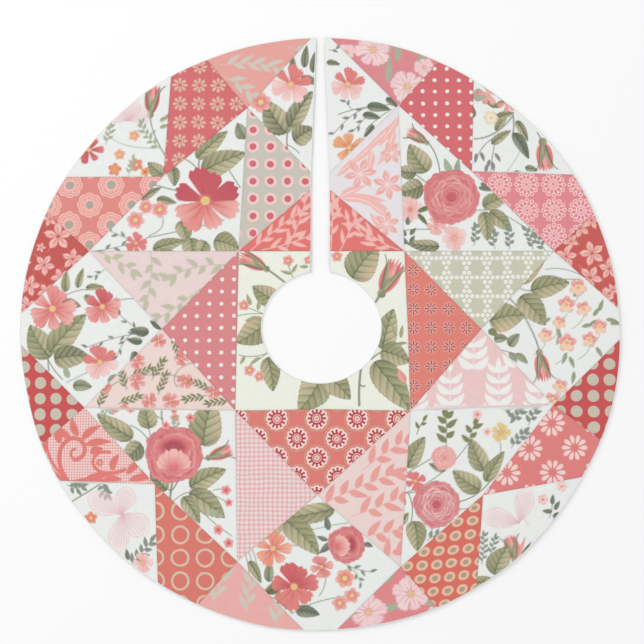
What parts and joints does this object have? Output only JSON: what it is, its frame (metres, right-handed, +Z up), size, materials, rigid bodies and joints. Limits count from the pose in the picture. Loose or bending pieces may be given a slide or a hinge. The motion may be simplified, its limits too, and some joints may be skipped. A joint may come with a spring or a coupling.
{
  "type": "tree skirt",
  "caption": "Round patchwork cloth skirt with a central trunk hole and a slit to the rim; two flaps beside the slit fold back along a seam.",
  "frame": {"origin": "on the floor under the centre of the trunk hole", "axes": "+Z up out of the patchwork face, +Y from the hole along the slit, +X to the right"},
  "size_m": [1.118, 1.1179, 0.0046],
  "materials": {
    "patch_centre_leaves": "printed cotton cloth",
    "patch_wheat_left": "printed cotton cloth",
    "patch_wheat_right": "printed cotton cloth",
    "patch_white_dots": "printed cotton cloth",
    "patch_starbursts": "printed cotton cloth",
    "patch_gears": "printed cotton cloth",
    "patch_sage_vine": "printed cotton cloth",
    "patch_olive_sprigs": "printed cotton cloth",
    "patch_ringed_dots": "printed cotton cloth",
    "patch_lilies": "printed cotton cloth",
    "patch_lace_lattice": "printed cotton cloth",
    "patch_laurel": "printed cotton cloth",
    "patch_gingham": "printed cotton cloth",
    "patch_coral_leaves": "printed cotton cloth",
    "patch_cosmos_corner": "printed cotton cloth",
    "patch_rose_corner": "printed cotton cloth",
    "patch_peony_corner": "printed cotton cloth",
    "patch_two_roses_corner": "printed cotton cloth",
    "patch_left_diamond": "printed cotton cloth",
    "patch_right_diamond": "printed cotton cloth",
    "patch_back_diamond_left": "printed cotton cloth",
    "patch_back_diamond_right": "printed cotton cloth",
    "patch_front_diamond": "printed cotton cloth",
    "patch_daisies": "printed cotton cloth",
    "patch_bud_square": "printed cotton cloth",
    "patch_medallions": "printed cotton cloth",
    "patch_salmon_vine_back": "printed cotton cloth",
    "patch_pink_cosmos_back": "printed cotton cloth",
    "patch_red_dots": "printed cotton cloth",
    "patch_branch_square": "printed cotton cloth",
    "patch_lace_stars": "printed cotton cloth",
    "patch_grey_dots_left": "printed cotton cloth",
    "patch_damask": "printed cotton cloth",
    "patch_butterfly_left": "printed cotton cloth",
    "patch_tan_rings": "printed cotton cloth",
    "patch_salmon_vine_front": "printed cotton cloth",
    "patch_grey_dots_right": "printed cotton cloth",
    "patch_pale_daisies": "printed cotton cloth",
    "patch_butterfly_right": "printed cotton cloth",
    "patch_oval_dots": "printed cotton cloth",
    "patch_pink_cosmos_front": "printed cotton cloth",
    "patch_blossoms_left_flap": "printed cotton cloth",
    "patch_blossoms_left_body": "printed cotton cloth",
    "patch_blossoms_right_flap": "printed cotton cloth",
    "patch_blossoms_right_body": "printed cotton cloth",
    "lining_body": "plain cotton cloth",
    "lining_left_flap": "plain cotton cloth",
    "lining_right_flap": "plain cotton cloth",
    "rim_hem_body": "plain cotton cloth",
    "rim_hem_left_flap": "plain cotton cloth",
    "rim_hem_right_flap": "plain cotton cloth",
    "hole_hem": "plain cotton cloth",
    "tab_1": "plain cotton cloth",
    "hook_pad_1": "hook-and-loop tape",
    "tab_2": "plain cotton cloth",
    "hook_pad_2": "hook-and-loop tape",
    "tab_3": "plain cotton cloth",
    "hook_pad_3": "hook-and-loop tape",
    "loop_pads": "hook-and-loop tape"
  },
  "bodies": {
    "body": {"patch_centre_leaves": "patch_centre_leaves", "patch_white_dots": "patch_white_dots", "patch_starbursts": "patch_starbursts", "patch_gears": "patch_gears", "patch_sage_vine": "patch_sage_vine", "patch_olive_sprigs": "patch_olive_sprigs", "patch_lace_lattice": "patch_lace_lattice", "patch_laurel": "patch_laurel", "patch_gingham": "patch_gingham", "patch_coral_leaves": "patch_coral_leaves", "patch_peony_corner": "patch_peony_corner", "patch_two_roses_corner": "patch_two_roses_corner", "patch_left_diamond": "patch_left_diamond", "patch_right_diamond": "patch_right_diamond", "patch_front_diamond": "patch_front_diamond", "patch_grey_dots_left": "patch_grey_dots_left", "patch_damask": "patch_damask", "patch_butterfly_left": "patch_butterfly_left", "patch_tan_rings": "patch_tan_rings", "patch_salmon_vine_front": "patch_salmon_vine_front", "patch_grey_dots_right": "patch_grey_dots_right", "patch_pale_daisies": "patch_pale_daisies", "patch_butterfly_right": "patch_butterfly_right", "patch_oval_dots": "patch_oval_dots", "patch_pink_cosmos_front": "patch_pink_cosmos_front", "patch_blossoms_left_body": "patch_blossoms_left_body", "patch_blossoms_right_body": "patch_blossoms_right_body", "lining_body": "lining_body", "rim_hem_body": "rim_hem_body", "hole_hem": "hole_hem"},
    "left_flap": {"patch_wheat_left": "patch_wheat_left", "patch_ringed_dots": "patch_ringed_dots", "patch_cosmos_corner": "patch_cosmos_corner", "patch_back_diamond_left": "patch_back_diamond_left", "patch_daisies": "patch_daisies", "patch_bud_square": "patch_bud_square", "patch_medallions": "patch_medallions", "patch_salmon_vine_back": "patch_salmon_vine_back", "patch_blossoms_left_flap": "patch_blossoms_left_flap", "lining_left_flap": "lining_left_flap", "rim_hem_left_flap": "rim_hem_left_flap"},
    "right_flap": {"patch_wheat_right": "patch_wheat_right", "patch_lilies": "patch_lilies", "patch_rose_corner": "patch_rose_corner", "patch_back_diamond_right": "patch_back_diamond_right", "patch_pink_cosmos_back": "patch_pink_cosmos_back", "patch_red_dots": "patch_red_dots", "patch_branch_square": "patch_branch_square", "patch_lace_stars": "patch_lace_stars", "patch_blossoms_right_flap": "patch_blossoms_right_flap", "lining_right_flap": "lining_right_flap", "rim_hem_right_flap": "rim_hem_right_flap", "loop_pads": "loop_pads"},
    "tab_1": {"tab_1": "tab_1", "hook_pad_1": "hook_pad_1"},
    "tab_2": {"tab_2": "tab_2", "hook_pad_2": "hook_pad_2"},
    "tab_3": {"tab_3": "tab_3", "hook_pad_3": "hook_pad_3"}
  },
  "joints": [
    {"name": "left_flap_fold", "type": "hinge", "parent": "body", "child": "left_flap", "pos_m": [-0.28, 0.147, 0.0076], "axis": [1, 0, 0], "range_deg": [0, 180]},
    {"name": "right_flap_fold", "type": "hinge", "parent": "body", "child": "right_flap", "pos_m": [0.28, 0.147, 0.0076], "axis": [1, 0, 0], "range_deg": [0, 180]},
    {"name": "tab_1_swing", "type": "hinge", "parent": "left_flap", "child": "tab_1", "pos_m": [-0.021, 0.205, 0.00145], "axis": [0, -1, 0], "range_deg": [0, 180]},
    {"name": "tab_2_swing", "type": "hinge", "parent": "left_flap", "child": "tab_2", "pos_m": [-0.01999, 0.34, 0.00145], "axis": [0, -1, 0], "range_deg": [0, 180]},
    {"name": "tab_3_swing", "type": "hinge", "parent": "left_flap", "child": "tab_3", "pos_m": [-0.01504, 0.475, 0.00145], "axis": [0, -1, 0], "range_deg": [0, 180]}
  ]
}
